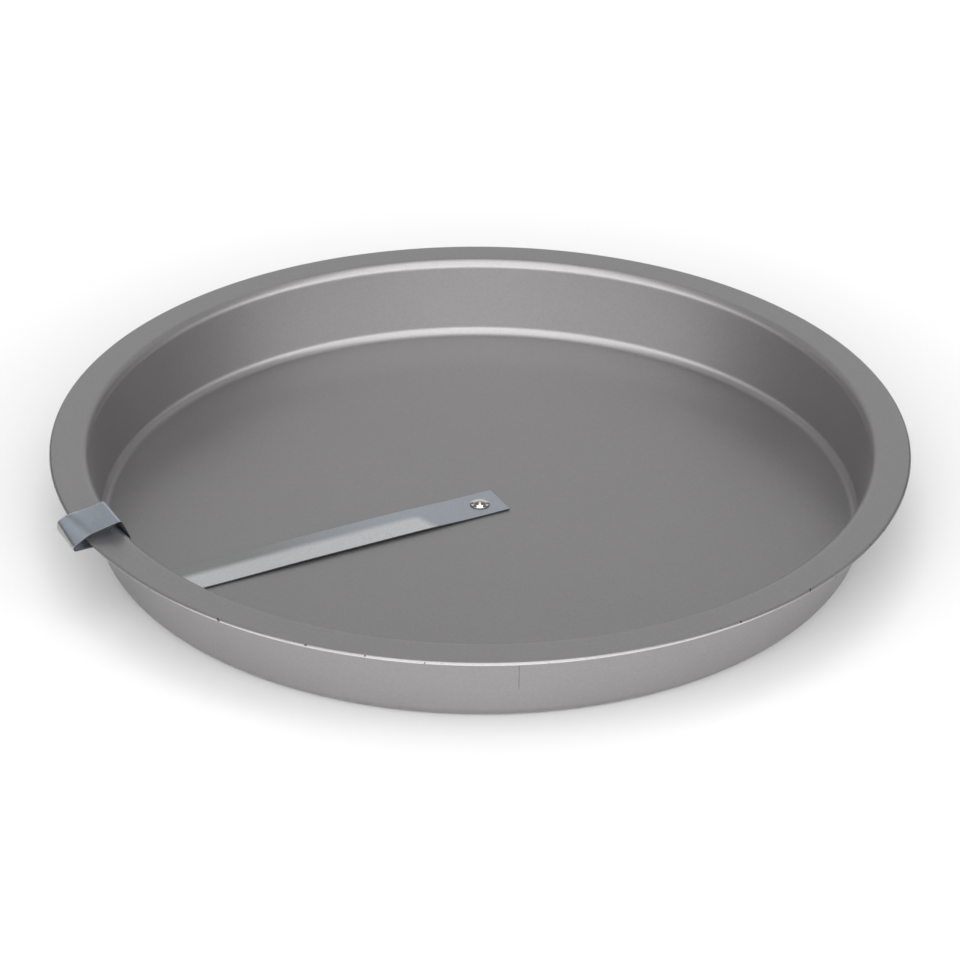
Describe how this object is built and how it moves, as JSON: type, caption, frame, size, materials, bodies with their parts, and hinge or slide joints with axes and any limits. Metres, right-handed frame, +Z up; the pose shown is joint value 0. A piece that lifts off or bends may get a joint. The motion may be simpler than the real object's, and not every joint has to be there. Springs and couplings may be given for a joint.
{
  "type": "pie pan",
  "caption": "Round pressed-metal pie pan with a flat rim and a riveted release strip that sweeps round the floor and wall, hooked over the rim, to free the crust.",
  "frame": {"origin": "on the table under the rivet, at the middle of the round base", "axes": "+Z up out of the pan's mouth along the rivet's axis; the arm's rest direction is 207.7 degrees from +X, counted towards +Y"},
  "size_m": [0.254, 0.254, 0.0295],
  "materials": {
    "pan_coating": "satin silver-grey baking coat on thin steel sheet",
    "arm_metal": "galvanised steel strip, pale and slightly blue",
    "rivet_metal": "polished nickel-plated steel"
  },
  "bodies": {
    "pan": {"pan_body": "pan_coating", "pivot_rivet": "rivet_metal"},
    "arm": {"release_arm": "arm_metal"}
  },
  "joints": [
    {"name": "arm_sweep", "type": "hinge", "parent": "pan", "child": "arm", "pos_m": [0, 0, 0.0009], "axis": [0, 0, 1], "continuous": true}
  ]
}
